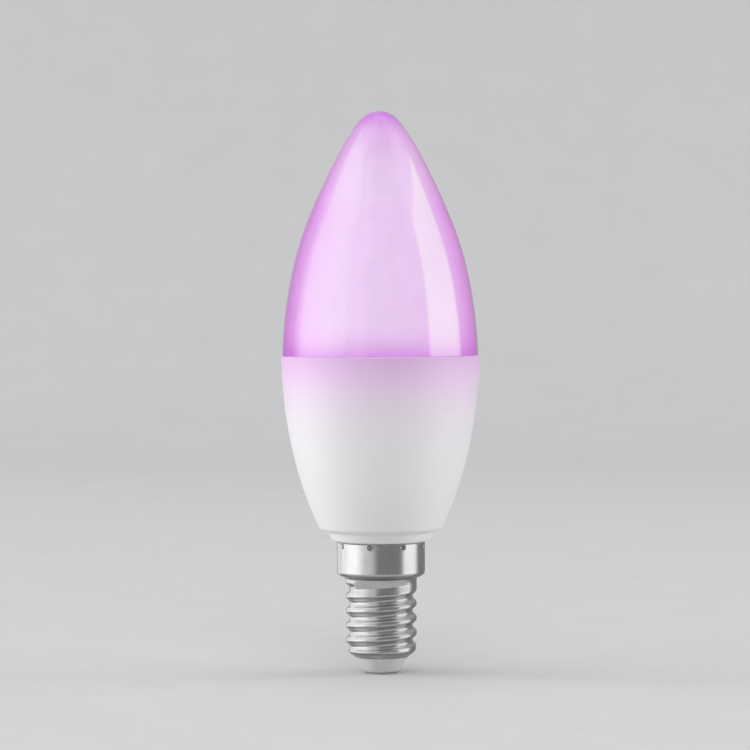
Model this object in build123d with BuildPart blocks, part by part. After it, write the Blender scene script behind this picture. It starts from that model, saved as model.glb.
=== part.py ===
from build123d import *
from math import cos, sin, radians, pi, sqrt, floor
import os

os.makedirs("parts", exist_ok=True)

# LED candle lamp with an Edison screw cap, cap down, axis on Z, origin on the end of
# the centre contact. All lengths in millimetres.

# ---------------------------------------------------------------- driving dimensions
overall_height = 108.25      # contact to diffuser tip
seam_z = 61.25               # diffuser meets housing
housing_radius = 19.08       # widest, at the rim
diffuser_radius = 18.90      # just inside the rim
diffuser_wall = 1.2
housing_wall = 1.3
cup_gap = 0.1                # between housing and heat sink cup
cup_wall = 0.7

# E14/25x17 cap
thread_pitch = 2.822
thread_major = 6.90          # radius over the crests
thread_minor = 6.10          # radius over the roots
thread_phase_z = 13.44       # height of a crest on the +X side
sheet = 0.25                 # cap sheet thickness
shell_bottom_z = 3.15
thread_top_z = 17.3
skirt_radius = 8.50
skirt_top_z = 25.35
dimple_count = 8
dimple_start = 30.2          # degrees from +X
dimple_z = 24.8

neck_bottom_z = 5.6
neck_bore = 4.5
neck_gap = 0.2               # between the cap sheet and the plastic neck

# LED board
board_z = 56.70              # underside of the aluminium board
board_radius = 16.70
board_thickness = 1.0
mask_thickness = 0.1
top_z = board_z + board_thickness + mask_thickness
white_led_ring = 12.4
rgb_places = [(0, 6.9), (-5.2, -6.3), (5.2, -6.3)]
pin_x = [-5, -3, -1, 1, 3, 5]
pin_y = -0.9

# driver board stands in the XZ plane
driver_t = 1.2
front = -driver_t / 2
back = driver_t / 2

# radius against height, outer surfaces
housing_profile = [
    (12.05, 28.4), (13.58, 32.0), (15.35, 37.0), (16.96, 43.0),
    (18.08, 49.0), (18.77, 55.0), (housing_radius, 61.0),
]
diffuser_profile = [
    (diffuser_radius, seam_z), (18.54, 67.0), (17.76, 73.0), (16.53, 79.0), (14.71, 85.0),
    (12.29, 91.0), (9.47, 97.0), (6.80, 102.0), (5.55, 104.0), (4.52, 105.5), (3.66, 106.58),
    (2.75, 107.39), (1.6, 107.97), (0.0, overall_height),
]


def smooth(t):
    """0 to 1 with level ends."""
    t = max(0.0, min(1.0, t))
    return t * t * (3 - 2 * t)


def ramp(z, stations):
    """Piecewise smooth value at height z from (z, value) stations."""
    if z <= stations[0][0]:
        return stations[0][1]
    for (z0, v0), (z1, v1) in zip(stations, stations[1:]):
        if z <= z1:
            return v0 + (v1 - v0) * (z - z0) / (z1 - z0)
    return stations[-1][1]


def thread_amplitude(z):
    """Eccentricity of the rolled thread, fading out at both ends."""
    full = (thread_major - thread_minor) / 2
    return full * smooth((z - 3.2) / 2.0) * smooth((thread_top_z - z) / 1.5)


def thread_radius(z):
    """Mean outer radius of the cap along the thread: rolled in at the foot, plain at the top."""
    return ramp(z, [(3.15, 5.42), (3.35, 5.72), (3.7, 6.03), (4.2, 6.30), (4.8, 6.45), (5.3, 6.50),
                    (15.9, 6.50), (16.4, 6.62), (16.9, 6.88), (17.2, 6.99), (thread_top_z, 7.00)])


def thread_sections(z_from, z_to, inset, count):
    """Circles whose centre circles the axis once a pitch, which makes a rolled right-hand thread."""
    sections = []
    for i in range(count + 1):
        z = z_from + (z_to - z_from) * i / count
        a = thread_amplitude(z)
        turn = 2 * pi * (z - thread_phase_z) / thread_pitch
        with BuildSketch(Plane.XY.offset(z)) as section:
            with Locations((a * cos(turn), a * sin(turn))):
                Circle(thread_radius(z) - inset)
        sections.append(section.sketch)
    return sections


def save(part, name):
    part.label = name
    export_step(part, f"parts/{name}.step")
    print(name, len(part.solids()), round(part.volume, 2))


# ================================================================ cap
dimple_angles = [dimple_start + i * 360 / dimple_count for i in range(dimple_count)]
dimple_centres = [
    ((skirt_radius + 0.25) * cos(radians(a)), (skirt_radius + 0.25) * sin(radians(a)), dimple_z)
    for a in dimple_angles
]

with BuildPart() as thread_core:
    loft(thread_sections(shell_bottom_z, thread_top_z, sheet, 44))

# metal pushed inwards behind each crimp, kept inside the skirt's outer face
with BuildPart() as crimp_bumps:
    with Locations(*dimple_centres):
        Sphere(0.9)
    with BuildSketch(Plane.XY.offset(23.0)):
        Circle(skirt_radius - 0.1)
    extrude(amount=skirt_top_z - 23.0, mode=Mode.INTERSECT)

with BuildPart() as screw_shell:
    loft(thread_sections(shell_bottom_z, thread_top_z, 0, 44))
    add(thread_core.part, mode=Mode.SUBTRACT)
    # shoulder and skirt above the thread
    with BuildSketch(Plane.XZ):
        with BuildLine():
            l1 = Line((7.0, thread_top_z), (7.0, 18.0))
            l2 = RadiusArc(l1 @ 1, (7.5, 18.5), 0.5)
            l3 = Line(l2 @ 1, (7.7, 18.5))
            l4 = RadiusArc(l3 @ 1, (skirt_radius, 19.3), -0.8)
            l5 = Line(l4 @ 1, (skirt_radius, skirt_top_z))
            l6 = Line(l5 @ 1, (skirt_radius - sheet, skirt_top_z))
            l7 = Line(l6 @ 1, (skirt_radius - sheet, 19.3))
            l8 = RadiusArc(l7 @ 1, (7.7, 18.5 + sheet), 0.8 - sheet)
            l9 = Line(l8 @ 1, (7.5, 18.5 + sheet))
            l10 = RadiusArc(l9 @ 1, (7.0 - sheet, 18.0), -(0.5 + sheet))
            l11 = Line(l10 @ 1, (7.0 - sheet, thread_top_z))
            Line(l11 @ 1, l1 @ 0)
        make_face()
    revolve(axis=Axis.Z)
    # crimp dimples punched inwards near the top edge
    add(crimp_bumps.part)
    with Locations(*dimple_centres):
        Sphere(0.65, mode=Mode.SUBTRACT)
save(screw_shell.part, "screw_shell")

with BuildPart() as base_insulator:
    with BuildSketch(Plane.XZ):
        with BuildLine():
            Polyline((0.95, 0.45), (2.55, 0.45), (2.55, 0.3), (3.05, 0.3), (3.35, 0.42),
                     (5.10, 3.05), (5.10, 3.55), (5.75, 3.95), (5.75, 4.6), (4.35, 4.6),
                     (4.35, 5.5), (3.6, 5.5), (3.6, 4.2), (0.95, 4.2), close=True)
        make_face()
    revolve(axis=Axis.Z)
save(base_insulator.part, "base_insulator")

with BuildPart() as centre_contact:
    with BuildSketch(Plane.XZ):
        with BuildLine():
            c1 = Line((0, 0), (2.0, 0))
            c2 = RadiusArc(c1 @ 1, (2.4, 0.4), -0.4)
            Polyline(c2 @ 1, (2.4, 0.45), (0.9, 0.45), (0.9, 5.4), (0.4, 5.4), (0.4, 2.2), (0, 2.2), (0, 0))
        make_face()
    revolve(axis=Axis.Z)
save(centre_contact.part, "centre_contact")

# ================================================================ housing
with BuildPart() as housing:
    # threaded part of the neck, inside the cap
    loft(thread_sections(neck_bottom_z, thread_top_z, sheet + neck_gap, 36))
    with BuildSketch(Plane.XZ):
        with BuildLine():
            h1 = Polyline((0, thread_top_z), (7.0 - sheet - neck_gap, thread_top_z),
                          (7.0 - sheet - neck_gap, 18.35), (7.15, 18.95), (7.75, 18.95), (8.05, 19.25),
                          (8.05, 25.5), (8.8, 25.5))
            h2 = Spline(h1 @ 1, (9.35, 25.72), (9.68, 26.15), tangents=[(1, 0), (0.15, 1)])
            h3 = Line(h2 @ 1, (10.02, 27.1))
            h4 = RadiusArc(h3 @ 1, (10.4, 27.42), 0.4)
            h5 = Line(h4 @ 1, (11.25, 27.68))
            h6 = Spline(h5 @ 1, (11.75, 27.95), housing_profile[0], tangents=[(1, 0.3), (0.42, 1)])
            h7 = Spline(*housing_profile, tangents=[(0.42, 1), (0.012, 1)])
            h8 = RadiusArc(h7 @ 1, (housing_radius - 0.25, seam_z), -0.25)
            h9 = Polyline(h8 @ 1, (18.2, seam_z), (17.75, 60.85), (17.75, 59.9), (18.0, 59.7),
                          (18.0, 59.3), (17.75, 59.1), (17.75, 57.9),
                          (18.765 - housing_wall, 55.0))
            h10 = Spline(h9 @ 1, *[(r - housing_wall, z) for r, z in reversed(housing_profile[1:-2])],
                         (12.80 - housing_wall, 30.0))
            Polyline(h10 @ 1, (10.8, 29.3), (7.0, 29.3), (7.0, 20.2), (neck_bore, 19.4), (0, 19.4), (0, thread_top_z))
        make_face()
    revolve(axis=Axis.Z)
    # neck bore
    with BuildSketch(Plane.XY.offset(neck_bottom_z - 1)):
        Circle(neck_bore)
    extrude(amount=18.0, mode=Mode.SUBTRACT)
    # guide ribs that hold the driver board on edge
    with Locations(*[(sx * 6.6, sy * 1.2, 23.8) for sx in (-1, 1) for sy in (-1, 1)]):
        Box(1.3, 0.8, 6.4)
    # pockets that the crimps press into
    with Locations(*dimple_centres):
        Sphere(1.0, mode=Mode.SUBTRACT)
    # notch and groove for the neutral wire
    with Locations(Location((0, 0, 0), (0, 0, 60))):
        with Locations((5.35, 0, neck_bottom_z + 0.5)):
            Box(2.4, 1.1, 1.6, mode=Mode.SUBTRACT)
        with Locations((5.95, 0, neck_bottom_z + 2.4)):
            Box(2.0, 1.1, 5.0, mode=Mode.SUBTRACT)
save(housing.part, "housing")

# ================================================================ diffuser
with BuildPart() as diffuser:
    with BuildSketch(Plane.XZ):
        with BuildLine():
            d1 = Spline(*diffuser_profile, tangents=[(-0.03, 1), (-1, 0)])
            inner = []
            for t in (0.02, 0.09, 0.18, 0.28, 0.38, 0.48, 0.58, 0.68, 0.77, 0.85, 0.91):
                p, g = d1 @ t, d1 % t
                inner.append((p.X - diffuser_wall * g.Y, p.Y + diffuser_wall * g.X))
            d2 = Line(d1 @ 1, (0, overall_height - diffuser_wall))
            d3 = Spline(d2 @ 1, *reversed(inner), tangents=[(1, 0), (0.04, -1)])
            Polyline(d3 @ 1, (16.45, 60.6), (16.45, 58.4), (17.65, 58.4), (17.65, 59.2), (17.9, 59.35),
                     (17.9, 59.65), (17.65, 59.8), (17.65, seam_z), d1 @ 0)
        make_face()
    revolve(axis=Axis.Z)
save(diffuser.part, "diffuser")

with BuildPart() as adhesive_ring:
    with BuildSketch(Plane.XZ):
        with BuildLine():
            Polyline((17.66, 60.3), (17.74, 60.3), (17.74, 60.87), (18.15, 61.24), (17.66, 61.24), close=True)
        make_face()
    revolve(axis=Axis.Z)
save(adhesive_ring.part, "diffuser_adhesive_ring")

# ================================================================ heat sink and LED board
cup_outer = housing_wall + cup_gap
cup_inner = cup_outer + cup_wall
with BuildPart() as heat_sink_cup:
    with BuildSketch(Plane.XZ):
        with BuildLine():
            k1 = Polyline((8.4, 29.4), (10.55, 29.4), (12.86 - cup_outer, 30.25))
            k2 = Spline(k1 @ 1, *[(r - cup_outer, z) for r, z in housing_profile[1:5]], (16.62, 52.5))
            k3 = Polyline(k2 @ 1, (16.5, 54.2), (16.5, 55.9), (17.38, 55.9), (17.38, 58.3), (16.78, 58.3), (16.78, 56.6),
                          (15.8, 56.6), (15.8, 54.2), (15.92, 52.5))
            k4 = Spline(k3 @ 1, *[(r - cup_inner, z) for r, z in reversed(housing_profile[1:5])], (12.86 - cup_inner, 30.7))
            Polyline(k4 @ 1, (10.2, 30.1), (8.4, 30.1), (8.4, 29.4))
        make_face()
    revolve(axis=Axis.Z)
save(heat_sink_cup.part, "heat_sink_cup")

with BuildPart() as thermal_ring:
    with BuildSketch(Plane.XY.offset(56.6)):
        Circle(16.6)
        Circle(15.85, mode=Mode.SUBTRACT)
    extrude(amount=0.1)
save(thermal_ring.part, "thermal_compound_ring")


def board_outline():
    """Round LED board with the radio board's slot, the pin holes and two locating notches."""
    Circle(board_radius)
    with Locations((0, 1.15)):
        SlotOverall(16.6, 1.6, mode=Mode.SUBTRACT)
    with Locations(*[(x, pin_y) for x in pin_x]):
        Circle(0.55, mode=Mode.SUBTRACT)
    with PolarLocations(board_radius, 2, start_angle=0):
        Circle(1.0, mode=Mode.SUBTRACT)


with BuildPart() as led_board:
    with BuildSketch(Plane.XY.offset(board_z)):
        board_outline()
    extrude(amount=board_thickness)
save(led_board.part, "led_board")

with BuildPart() as led_board_mask:
    with BuildSketch(Plane.XY.offset(board_z + board_thickness)):
        board_outline()
        offset(amount=-0.15, mode=Mode.REPLACE)
    extrude(amount=mask_thickness)
save(led_board_mask.part, "led_board_solder_mask")


def white_angles(first):
    return [first + i * 72 for i in range(5)]


def led_places(angles):
    return [Location((white_led_ring * cos(radians(a)), white_led_ring * sin(radians(a)), top_z), (0, 0, a)) for a in angles]


for kind, first in (("warm", 18), ("cool", 54)):
    with BuildPart() as packages:
        with Locations(*led_places(white_angles(first))):
            Box(2.8, 3.5, 0.7, align=(Align.CENTER, Align.CENTER, Align.MIN))
            with Locations((0, 0, 0.7)):
                Cone(1.0, 1.2, 0.35, align=(Align.CENTER, Align.CENTER, Align.MAX), mode=Mode.SUBTRACT)
    save(packages.part, f"{kind}_white_leds")
    with BuildPart() as phosphor:
        with Locations(*led_places(white_angles(first))):
            with Locations((0, 0, 0.66)):
                Cone(1.0, 1.17, 0.31, align=(Align.CENTER, Align.CENTER, Align.MAX))
    save(phosphor.part, f"{kind}_white_phosphor")

with BuildPart() as rgb_leds:
    with Locations(*[(x, y, top_z) for x, y in rgb_places]):
        Box(3.5, 3.5, 0.9, align=(Align.CENTER, Align.CENTER, Align.MIN))
        with Locations((0, 0, 0.9)):
            Cone(1.25, 1.5, 0.5, align=(Align.CENTER, Align.CENTER, Align.MAX), mode=Mode.SUBTRACT)
save(rgb_leds.part, "rgb_led_packages")

die_offsets = {"red": (0.55, -0.35), "green": (-0.55, -0.35), "blue": (0.0, 0.6)}
for colour, (dx, dy) in die_offsets.items():
    with BuildPart() as dies:
        with Locations(*[(x + dx, y + dy, top_z + 0.4) for x, y in rgb_places]):
            Box(0.36, 0.36, 0.12, align=(Align.CENTER, Align.CENTER, Align.MIN))
    save(dies.part, f"{colour}_led_dies")

with BuildPart() as rgb_resin:
    with Locations(*[(x, y, top_z + 0.86) for x, y in rgb_places]):
        Cone(1.25, 1.46, 0.46, align=(Align.CENTER, Align.CENTER, Align.MAX))
    with Locations(*[(x + dx, y + dy, top_z + 0.4) for x, y in rgb_places for dx, dy in die_offsets.values()]):
        Box(0.36, 0.36, 0.12, align=(Align.CENTER, Align.CENTER, Align.MIN), mode=Mode.SUBTRACT)
save(rgb_resin.part, "rgb_led_resin")

with BuildPart() as board_socket:
    with Locations((0, pin_y, top_z)):
        Box(13.0, 2.4, 2.6, align=(Align.CENTER, Align.CENTER, Align.MIN))
    fillet(board_socket.edges().filter_by(Axis.Z), 0.2)
    with Locations(*[(x, pin_y, top_z) for x in pin_x]):
        Box(0.8, 0.8, 2.3, align=(Align.CENTER, Align.CENTER, Align.MIN), mode=Mode.SUBTRACT)
save(board_socket.part, "led_board_socket")

# ================================================================ driver board
transformer_pin_x = [3.0, 5.0, 7.0, 9.0]
neutral_x, neutral_y = 3.0 * cos(radians(60)), 3.0 * sin(radians(60))
tht_holes = [(0, 20.4), (-4.65, 30.2), (-2.15, 30.2), (-7.0, 42.3), (-5.0, 42.3), (4.0, 32.4), (6.4, 32.4),
             (-1.6, 21.3), (1.6, 21.3), (neutral_x, 13.5)] + [(x, 42.2) for x in transformer_pin_x]
with BuildPart() as driver_board:
    with BuildSketch(Plane.XZ.offset(-back)):
        with BuildLine():
            Polyline((-4.0, 9.5), (4.0, 9.5), (4.0, 19.6), (6.4, 21.4), (6.4, 29.3), (9.5, 32.2), (9.5, 38.6),
                     (12.5, 41.6), (12.5, 55.0), (-12.5, 55.0), (-12.5, 41.6), (-9.5, 38.6), (-9.5, 32.2),
                     (-6.4, 29.3), (-6.4, 21.4), (-4.0, 19.6), close=True)
        make_face()
        with Locations(*tht_holes):
            Circle(0.4, mode=Mode.SUBTRACT)
        with Locations((0, 31.2)):
            SlotOverall(3.4, 1.0, mode=Mode.SUBTRACT)
    extrude(amount=driver_t)
save(driver_board.part, "driver_board")

with BuildPart() as pin_header:
    with Locations((0, pin_y - 0.55, 53.6)):
        Box(12.4, 1.7, 2.0)
    with Locations(*[(x, pin_y, 53.6) for x in pin_x]):
        Box(0.62, 0.62, 2.4, mode=Mode.SUBTRACT)
save(pin_header.part, "pin_header_strip")

with BuildPart() as header_pins:
    with Locations(*[(x, pin_y, 56.0) for x in pin_x]):
        Box(0.6, 0.6, 7.6)
    chamfer(header_pins.edges().group_by(Axis.Z)[-1], 0.12)
save(header_pins.part, "header_pins")


def can(name, x, y, z, radius, height, lead_pitch, lead_z):
    """Radial electrolytic capacitor standing along the board, its leads bent back into it."""
    with BuildPart() as body:
        with BuildSketch(Plane.XZ):
            with BuildLine():
                Polyline((0, 0.25), (radius - 0.7, 0.25), (radius - 0.7, 0), (radius - 0.25, 0), (radius, 0.25), (radius, 1.3),
                         (radius - 0.28, 1.6), (radius - 0.28, 1.9), (radius, 2.2), (radius, height - 0.35),
                         (radius - 0.35, height), (radius - 0.75, height), (radius - 0.85, height - 0.18), (0, height - 0.18), close=True)
            make_face()
        revolve(axis=Axis.Z)
        # pressure relief score in the top
        with Locations((0, 0, height - 0.18)):
            Box(radius * 1.1, 0.22, 0.2, mode=Mode.SUBTRACT)
            Box(0.22, radius * 1.1, 0.2, mode=Mode.SUBTRACT)
    moved = body.part.moved(Location((x, y, z)))
    with BuildPart() as whole:
        add(moved)
    save(whole.part, name)
    with BuildPart() as leads:
        for sx in (-0.5, 0.5):
            with BuildLine() as route:
                FilletPolyline((x + sx * lead_pitch, y, z + 0.25), (x + sx * lead_pitch, y, lead_z),
                               (x + sx * lead_pitch, back + 0.9, lead_z), radius=0.5)
            with BuildSketch(Plane(origin=(x + sx * lead_pitch, y, z + 0.25), z_dir=(0, 0, -1))):
                Circle(0.27)
            sweep(path=route.wire())
    save(leads.part, name + "_leads")


can("input_capacitor", -3.4, front - 4.3, 31.0, 4.0, 11.0, 2.5, 30.2)
can("output_capacitor", -6.0, front - 3.5, 43.0, 3.15, 9.2, 2.0, 42.3)

# high-frequency transformer: two ferrite E halves, a bobbin and its taped winding
tx, tz = 6.0, 47.4
ty = front - 5.0
with BuildPart() as transformer_core:
    with Locations((tx, ty, tz)):
        Box(9.0, 4.0, 9.0)
    with Locations((tx - 2.75, ty, tz), (tx + 2.75, ty, tz)):
        Box(1.9, 5.0, 6.2, mode=Mode.SUBTRACT)
save(transformer_core.part, "transformer_core")
with BuildPart() as transformer_bobbin:
    with Locations((tx, ty, tz)):
        Box(7.0, 8.4, 5.9)
    with Locations((tx, ty, tz)):
        Box(8.0, 9.0, 4.3, mode=Mode.SUBTRACT)
    with Locations((tx, ty, tz)):
        Box(4.3, 5.6, 5.9)
    with Locations((tx, ty, tz)):
        Box(3.66, 4.02, 7.0, mode=Mode.SUBTRACT)
    # the outer legs of the core pass the flanges
    with Locations((tx - 4.1, ty, tz), (tx + 4.1, ty, tz)):
        Box(0.9, 4.1, 7.0, mode=Mode.SUBTRACT)
    # foot that stands on the board
    with Locations((tx, front - 0.4, tz + 2.55), (tx, front - 0.4, tz - 2.55)):
        Box(7.0, 0.8, 0.8)
save(transformer_bobbin.part, "transformer_bobbin")
with BuildPart() as transformer_winding:
    with Locations((tx, ty, tz)):
        Box(6.9, 8.1, 4.2)
    fillet(transformer_winding.edges().filter_by(Axis.Z), 1.4)
    with Locations((tx, ty, tz)):
        Box(4.4, 5.7, 5.0, mode=Mode.SUBTRACT)
    with Locations((tx - 4.05, ty, tz), (tx + 4.05, ty, tz)):
        Box(1.6, 4.1, 5.0, mode=Mode.SUBTRACT)
save(transformer_winding.part, "transformer_winding")
with BuildPart() as transformer_pins:
    for px in transformer_pin_x:
        with BuildLine() as route:
            FilletPolyline((px, ty + 3.8, 44.45), (px, ty + 3.8, 42.2), (px, back + 0.9, 42.2), radius=0.45)
        with BuildSketch(Plane(origin=(px, ty + 3.8, 44.45), z_dir=(0, 0, -1))):
            Circle(0.25)
        sweep(path=route.wire())
save(transformer_pins.part, "transformer_pins")

# drum choke: ferrite bobbin and copper coil, axis along the board
cx, cy, cz = 5.2, front - 3.7, 33.4
with BuildPart() as choke_core:
    with BuildSketch(Plane.XZ):
        with BuildLine():
            Polyline((0, 0), (3.0, 0), (3.0, 1.1), (1.5, 1.1), (1.5, 6.4), (3.0, 6.4), (3.0, 7.5), (0, 7.5), close=True)
        make_face()
    revolve(axis=Axis.Z)
with BuildPart() as choke_core_placed:
    add(choke_core.part.moved(Location((cx, cy, cz))))
save(choke_core_placed.part, "filter_choke_core")
with BuildPart() as choke_coil:
    with BuildSketch(Plane.XZ):
        with BuildLine():
            turns = 13
            step = 5.2 / turns
            ridge = [(1.52, 1.15)]
            for i in range(turns):
                ridge += [(2.55, 1.15 + step * (i + 0.15)), (2.7, 1.15 + step * (i + 0.5)), (2.55, 1.15 + step * (i + 0.85))]
            Polyline(*ridge, (1.52, 6.35), close=True)
        make_face()
    revolve(axis=Axis.Z)
with BuildPart() as choke_coil_placed:
    add(choke_coil.part.moved(Location((cx, cy, cz))))
save(choke_coil_placed.part, "filter_choke_winding")
with BuildPart() as choke_leads:
    for px in (4.0, 6.4):
        with BuildLine() as route:
            FilletPolyline((px, cy, cz), (px, cy, 32.4), (px, back + 0.9, 32.4), radius=0.45)
        with BuildSketch(Plane(origin=(px, cy, cz), z_dir=(0, 0, -1))):
            Circle(0.25)
        sweep(path=route.wire())
save(choke_leads.part, "filter_choke_leads")

# surge varistor in the neck, lead side down
with BuildPart() as varistor:
    with BuildSketch(Plane.XZ.offset(-(front - 1.2))):
        with Locations((0, 25.2)):
            Circle(2.9)
    extrude(amount=2.6)
    fillet(varistor.edges().filter_by(GeomType.CIRCLE), 0.9)
save(varistor.part, "varistor")
with BuildPart() as varistor_leads:
    for px in (-1.6, 1.6):
        ly = front - 2.4
        with BuildLine() as route:
            FilletPolyline((px, ly, 22.75), (px, ly, 21.3), (px, back + 0.9, 21.3), radius=0.5)
        with BuildSketch(Plane(origin=(px, ly, 22.75), z_dir=(0, 0, -1))):
            Circle(0.25)
        sweep(path=route.wire())
save(varistor_leads.part, "varistor_leads")

# fusible resistor on the live lead, in the cap
rx, ry = 0, -2.55
with BuildPart() as fusible_resistor:
    with BuildSketch(Plane.XZ):
        with BuildLine():
            r1 = Polyline((0, 0), (0.9, 0), (1.3, 0.35), (1.3, 1.3))
            r2 = Spline(r1 @ 1, (1.12, 1.9), (1.12, 5.1), (1.3, 5.7), tangents=[(0, 1), (0, 1)])
            Polyline(r2 @ 1, (1.3, 6.65), (0.9, 7.0), (0, 7.0), (0, 0))
        make_face()
    revolve(axis=Axis.Z)
with BuildPart() as resistor_placed:
    add(fusible_resistor.part.moved(Location((rx, ry, 9.8))))
save(resistor_placed.part, "fusible_resistor")
with BuildPart() as resistor_sleeve:
    with BuildSketch(Plane.XY.offset(9.1)):
        with Locations((rx, ry)):
            Circle(1.6)
            Circle(1.36, mode=Mode.SUBTRACT)
    extrude(amount=8.4)
save(resistor_sleeve.part, "resistor_heat_shrink_sleeve")
with BuildPart() as live_lead:
    with BuildLine() as route:
        FilletPolyline((rx, ry, 9.8), (rx, ry, 8.3), (0, 0, 6.6), (0, 0, 2.6), radius=0.6)
    with BuildSketch(Plane(origin=(rx, ry, 9.8), z_dir=(0, 0, -1))):
        Circle(0.3)
    sweep(path=route.wire())
save(live_lead.part, "live_lead")
with BuildPart() as resistor_board_lead:
    with BuildLine() as route:
        FilletPolyline((rx, ry, 16.8), (rx, ry, 20.4), (0, back + 0.9, 20.4), radius=0.6)
    with BuildSketch(Plane(origin=(rx, ry, 16.8), z_dir=(0, 0, 1))):
        Circle(0.3)
    sweep(path=route.wire())
save(resistor_board_lead.part, "resistor_board_lead")

# insulated neutral wire: board, notch in the neck, then up the groove against the cap
ux, uy = cos(radians(60)), sin(radians(60))
with BuildPart() as neutral_wire:
    with BuildLine() as route:
        FilletPolyline((neutral_x, back, 13.5), (neutral_x, neutral_y, 13.5), (neutral_x, neutral_y, 6.15),
                       (5.4 * ux, 5.4 * uy, 6.15), (5.4 * ux, 5.4 * uy, 10.0), radius=0.5)
    with BuildSketch(Plane(origin=(neutral_x, back, 13.5), z_dir=(0, 1, 0))):
        Circle(0.34)
    sweep(path=route.wire())
save(neutral_wire.part, "neutral_wire")

# ---------------------------------------------------------------- parts on the driver board's back face
with BuildPart() as bridge_rectifier:
    with Locations((0.6, back + 1.35, 26.2)):
        Box(4.7, 2.3, 3.9)
    chamfer(bridge_rectifier.faces().sort_by(Axis.Y)[-1].edges(), 0.3)
    with Locations(*[(x, back + 0.35, 26.2 + s * 2.6) for x in (-0.67, 1.87) for s in (-1, 1)]):
        Box(0.7, 0.7, 1.9)
save(bridge_rectifier.part, "bridge_rectifier")

with BuildPart() as driver_ic:
    with Locations((-4.6, back + 0.95, 35.0)):
        Box(4.9, 1.5, 3.9)
    chamfer(driver_ic.faces().sort_by(Axis.Y)[-1].edges(), 0.25)
    with Locations(*[(-4.6 + (i - 1.5) * 1.27, back + 0.16, 35.0 + s * 2.45) for i in range(4) for s in (-1, 1)]):
        Box(0.42, 0.32, 1.3)
    with Locations(*[(-4.6 + (i - 1.5) * 1.27, back + 0.55, 35.0 + s * 2.05) for i in range(4) for s in (-1, 1)]):
        Box(0.42, 1.0, 0.3)
save(driver_ic.part, "driver_controller_ic")

with BuildPart() as led_driver_ic:
    with Locations((-1.6, back + 0.85, 41.0)):
        Box(4.9, 1.3, 3.6)
    chamfer(led_driver_ic.faces().sort_by(Axis.Y)[-1].edges(), 0.25)
    with Locations(*[(-1.6 + (i - 2) * 1.0, back + 0.13, 41.0 + s * 2.2) for i in range(5) for s in (-1, 1)]):
        Box(0.36, 0.26, 1.2)
    with Locations(*[(-1.6 + (i - 2) * 1.0, back + 0.5, 41.0 + s * 1.9) for i in range(5) for s in (-1, 1)]):
        Box(0.36, 0.9, 0.28)
save(led_driver_ic.part, "led_colour_driver_ic")

with BuildPart() as diodes:
    for px, pz in ((4.6, 35.4), (4.6, 39.6)):
        with Locations((px, back + 1.2, pz)):
            Box(4.3, 2.0, 2.6)
        with Locations((px - 2.3, back + 0.3, pz), (px + 2.3, back + 0.3, pz)):
            Box(0.9, 0.6, 1.5)
save(diodes.part, "power_diodes")

resistor_places = [(-8.1, 38.4), (-0.6, 36.6), (-0.6, 34.4), (-10.2, 44.0), (10.6, 44.0), (8.4, 33.4), (-8.15, 34.6),
                   (10.4, 46.2), (10.4, 48.6), (-10.2, 46.4)]
with BuildPart() as chip_resistors:
    with Locations(*[(x, back + 0.28, z) for x, z in resistor_places]):
        Box(1.9, 0.55, 1.2)
save(chip_resistors.part, "chip_resistors")
capacitor_places = [(-9.3, 41.2), (-0.7, 32.6), (3.2, 37.5), (10.4, 51.0), (-10.2, 49.0), (-10.2, 51.6)]
with BuildPart() as chip_capacitors:
    with Locations(*[(x, back + 0.45, z) for x, z in capacitor_places]):
        Box(1.9, 0.9, 1.2)
save(chip_capacitors.part, "chip_capacitors")

# solder cones where the leads come through
with BuildPart() as solder_joints:
    for hx, hz in tht_holes:
        with Locations(Location((hx, back, hz), (-90, 0, 0))):
            Cone(0.85, 0.42, 0.7, align=(Align.CENTER, Align.CENTER, Align.MIN))
            Cylinder(0.36, 3.0, mode=Mode.SUBTRACT)
save(solder_joints.part, "solder_joints")

# ================================================================ radio module
module_y = back + 0.15
module_t = 0.8
with BuildPart() as wifi_board:
    with Locations((0, module_y + module_t / 2, 53.7)):
        Box(15.0, module_t, 19.0)
    castellations = [(sx * 7.5, module_y + module_t / 2, 45.6 + i * 1.5) for sx in (-1, 1) for i in range(6)]
    with Locations(*[Location(c, (90, 0, 0)) for c in castellations]):
        Cylinder(0.35, 2.0, mode=Mode.SUBTRACT)
save(wifi_board.part, "radio_module_board")
outer = module_y + module_t
with BuildPart() as wifi_chip:
    with Locations((-2.2, outer + 0.43, 50.0)):
        Box(5.0, 0.86, 5.0)
    chamfer(wifi_chip.faces().sort_by(Axis.Y)[-1].edges(), 0.1)
save(wifi_chip.part, "radio_chip")
with BuildPart() as crystal:
    with Locations((4.2, outer + 0.35, 50.6)):
        Box(3.2, 0.7, 2.5)
    fillet(crystal.edges().filter_by(Axis.Y), 0.35)
save(crystal.part, "radio_crystal")
with BuildPart() as radio_passives:
    with Locations(*[(x, outer + 0.2, z) for x, z in ((4.2, 47.6), (4.2, 46.4), (2.0, 47.2), (-5.8, 54.2), (-4.0, 54.4), (1.6, 54.2), (5.9, 47.4), (-2.2, 46.2))]):
        Box(1.0, 0.4, 0.5)
save(radio_passives.part, "radio_passives")
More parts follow.
